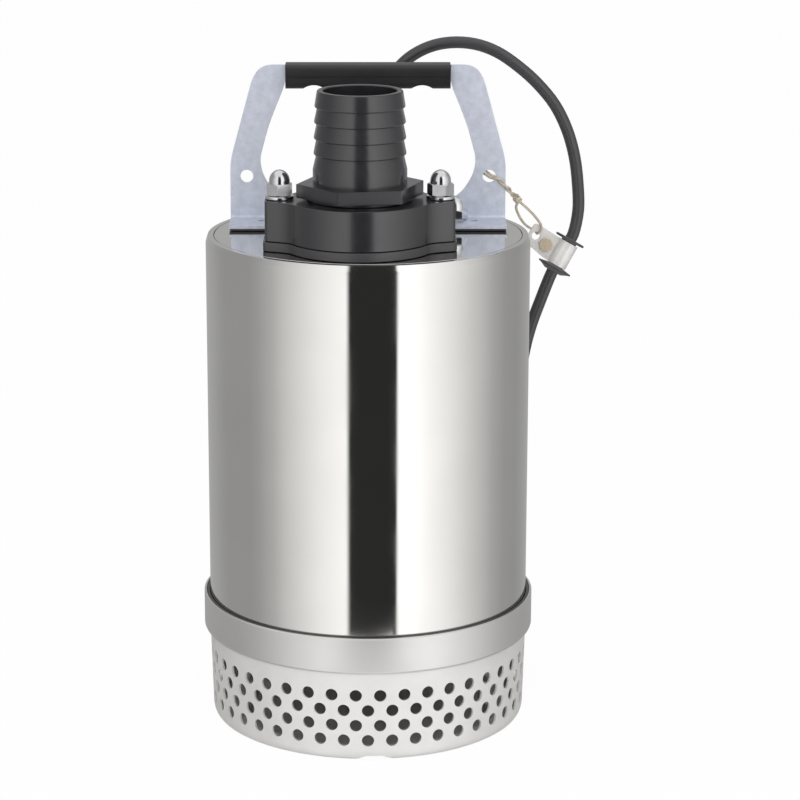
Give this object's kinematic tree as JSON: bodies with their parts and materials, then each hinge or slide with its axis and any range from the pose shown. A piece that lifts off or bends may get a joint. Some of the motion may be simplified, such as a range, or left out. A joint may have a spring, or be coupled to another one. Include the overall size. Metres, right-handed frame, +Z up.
{
  "type": "submersible sump pump",
  "caption": "Portable submersible pump with a polished steel sleeve, perforated strainer, deck-mounted hose tail, lifting handle and a coiled power cable.",
  "frame": {"origin": "on the floor the pump stands on, on the axis of the sleeve and the shaft", "axes": "+Z up along the shaft, -Y towards the side with the hose tail, +X to the right seen from there"},
  "size_m": [0.2234, 0.3505, 0.3899],
  "materials": {
    "polished_steel": "mirror-polished stainless steel",
    "satin_steel": "satin, turned",
    "pressed_steel": "pale satin pressed sheet",
    "galvanised_steel": "bluish galvanised sheet",
    "bright_steel": "bright",
    "yellow_zinc": "yellow zinc plated",
    "core_steel": "laminated electrical steel",
    "cast_iron": "painted casting",
    "copper": "varnished copper winding",
    "ceramic": "ground ceramic",
    "black_plastic": "gloss moulded",
    "grip_plastic": "satin moulded",
    "rubber": "matte black rubber",
    "tether_wire": "thin tan coated wire"
  },
  "bodies": {
    "pump": {"strainer": "pressed_steel", "base_ring": "satin_steel", "outer_sleeve": "polished_steel", "top_cover": "polished_steel", "pump_casing": "cast_iron", "suction_cover": "cast_iron", "seal_housing": "cast_iron", "bearing_bracket": "cast_iron", "seal_seat": "ceramic", "oil_seal": "rubber", "motor_housing": "satin_steel", "stator_core": "core_steel", "winding_lower": "copper", "winding_upper": "copper", "lower_bearing_outer": "bright_steel", "upper_bearing_outer": "bright_steel", "motor_cap": "cast_iron", "chamber_lid": "satin_steel", "capacitor": "satin_steel", "tie_bolt_1": "bright_steel", "tie_bolt_2": "bright_steel", "tie_bolt_3": "bright_steel", "strainer_screw_1": "bright_steel", "strainer_screw_2": "bright_steel", "strainer_screw_3": "bright_steel", "flange_gasket": "rubber", "discharge_flange": "black_plastic", "hose_tail": "black_plastic", "flange_left_stud": "bright_steel", "flange_left_washer": "bright_steel", "flange_left_dome_nut": "bright_steel", "flange_right_stud": "bright_steel", "flange_right_washer": "bright_steel", "flange_right_dome_nut": "bright_steel", "handle_left_stud": "bright_steel", "handle_left_dome_nut": "bright_steel", "handle_right_stud": "bright_steel", "handle_right_dome_nut": "bright_steel", "handle_plate": "galvanised_steel", "handle_grip": "grip_plastic", "gland_body": "bright_steel", "gland_nut": "bright_steel", "gland_boot": "rubber", "power_cable": "rubber", "cable_coil": "rubber", "plug_body": "rubber", "plug_pin_left": "bright_steel", "plug_pin_right": "bright_steel", "clip_bobbin": "rubber", "clip_strap": "bright_steel", "clip_bolt": "yellow_zinc", "clip_nut": "yellow_zinc", "tether": "tether_wire"},
    "rotor": {"rotor_core": "core_steel", "shaft": "bright_steel", "lower_bearing_inner": "bright_steel", "upper_bearing_inner": "bright_steel", "seal_head": "bright_steel", "impeller": "cast_iron", "impeller_nut": "bright_steel"}
  },
  "joints": [
    {"name": "rotor_spin", "type": "hinge", "parent": "pump", "child": "rotor", "pos_m": [0, 0, 0.1645], "axis": [0, 0, 1], "continuous": true}
  ]
}
